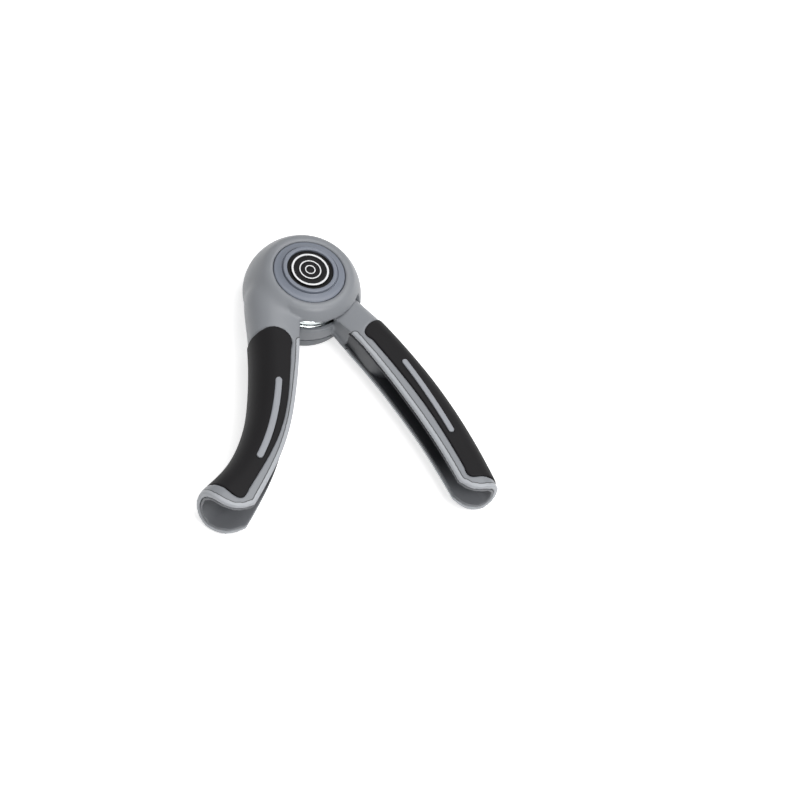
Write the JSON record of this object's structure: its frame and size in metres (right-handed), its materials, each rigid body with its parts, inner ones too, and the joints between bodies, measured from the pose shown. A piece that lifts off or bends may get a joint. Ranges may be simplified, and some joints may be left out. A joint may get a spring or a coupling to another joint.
{
  "type": "hand grip strengthener",
  "caption": "Hand grip strengthener: curved palm handle with a round head, and a finger handle that turns in the head against a coiled torsion spring; soft black grips with raised stripes.",
  "frame": {"origin": "on the pivot axis, in the plane of the flat underside of the head", "axes": "+Z along the pivot up to the badge, -Y midway between the two handles, +X towards the finger handle"},
  "size_m": [0.123, 0.1329, 0.0266],
  "materials": {
    "shell": "satin, fine grain",
    "grip": "soft matte",
    "stripe": "satin",
    "liner": "satin",
    "clip": "matte",
    "cap": "satin",
    "badge_ring": "gloss",
    "badge": "gloss",
    "cover": "satin",
    "steel": "zinc plated",
    "washer": "low friction plastic",
    "spring": "bright plated",
    "bush": "plain",
    "spool": "matte"
  },
  "bodies": {
    "palm_side": {"palm_shell": "shell", "palm_grip": "grip", "palm_stripes": "stripe", "palm_liner": "liner", "palm_leg_clip": "clip", "head_cap": "cap", "badge_ring": "badge_ring", "badge_disc": "badge", "bottom_cover": "cover", "bottom_cap": "cover", "pivot_bolt": "steel", "lock_nut": "steel", "nut_washer": "steel", "lower_washer": "washer", "upper_washer": "washer", "torsion_spring": "spring"},
    "finger_side": {"finger_shell": "shell", "finger_grip": "grip", "finger_stripes": "stripe", "finger_liner": "liner", "finger_leg_clip": "clip", "hub_bush": "bush", "spring_spool": "spool"}
  },
  "joints": [
    {"name": "squeeze", "type": "hinge", "parent": "palm_side", "child": "finger_side", "pos_m": [0, 0, 0.013], "axis": [0, 0, -1], "range_deg": [0, 38], "stiffness_Nm_per_rad": 9, "springref_deg": -20.05, "deforming": ["torsion_spring"]}
  ]
}
